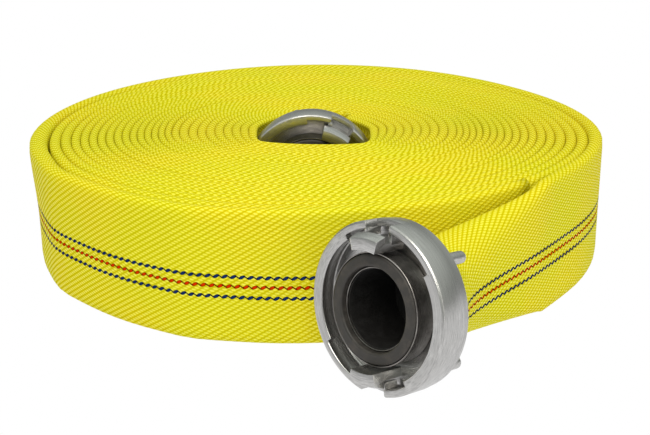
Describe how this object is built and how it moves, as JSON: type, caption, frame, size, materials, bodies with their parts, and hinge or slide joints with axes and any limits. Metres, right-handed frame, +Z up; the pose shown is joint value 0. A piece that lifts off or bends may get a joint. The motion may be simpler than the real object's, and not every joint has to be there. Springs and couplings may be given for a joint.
{
  "type": "rolled fire hose",
  "caption": "Lay-flat fire hose wound into a flat roll, with a quarter-turn lug coupling at its outer end and one in the core.",
  "frame": {"origin": "on the floor under the middle of the whole object's box", "axes": "+Z up, along the roll's axis; -Y is the way the outer coupling faces, and +X runs from the roll's middle to that coupling"},
  "size_m": [0.4532, 0.3972, 0.0969],
  "materials": {
    "hose_jacket": "fluorescent yellow twill-woven polyester with blue and red tracer threads",
    "cast_aluminium": "satin casting with machined faces",
    "seal_rubber": "matt dark brown-grey rubber",
    "lining_rubber": "smooth black rubber",
    "spring_steel": "bright spring steel",
    "slide_brass": "plain turned brass",
    "binding_wire": "zinc-coated drawn wire"
  },
  "bodies": {
    "hose": {"hose_roll": "hose_jacket", "hose_outer_turn": "hose_jacket", "outer_hose_neck": "hose_jacket", "inner_hose_neck": "hose_jacket", "outer_hose_tail": "cast_aluminium", "outer_face_seal": "seal_rubber", "outer_slide_ring": "slide_brass", "outer_snap_ring": "spring_steel", "outer_hose_lining": "lining_rubber", "outer_binding_wire_front": "binding_wire", "outer_binding_wire_rear": "binding_wire", "inner_hose_tail": "cast_aluminium", "inner_face_seal": "seal_rubber", "inner_slide_ring": "slide_brass", "inner_snap_ring": "spring_steel", "inner_hose_lining": "lining_rubber", "inner_binding_wire_front": "binding_wire", "inner_binding_wire_rear": "binding_wire"},
    "outer_ring": {"outer_lug_ring": "cast_aluminium"},
    "inner_ring": {"inner_lug_ring": "cast_aluminium"}
  },
  "joints": [
    {"name": "outer_ring_turn", "type": "hinge", "parent": "hose", "child": "outer_ring", "pos_m": [0.17911, -0.13445, 0.04709], "axis": [0, -0.9925, 0.1219], "continuous": true},
    {"name": "inner_ring_turn", "type": "hinge", "parent": "hose", "child": "inner_ring", "pos_m": [-0.02152, -0.00789, 0.0495], "axis": [0.7071, -0.7071, 0], "continuous": true}
  ]
}
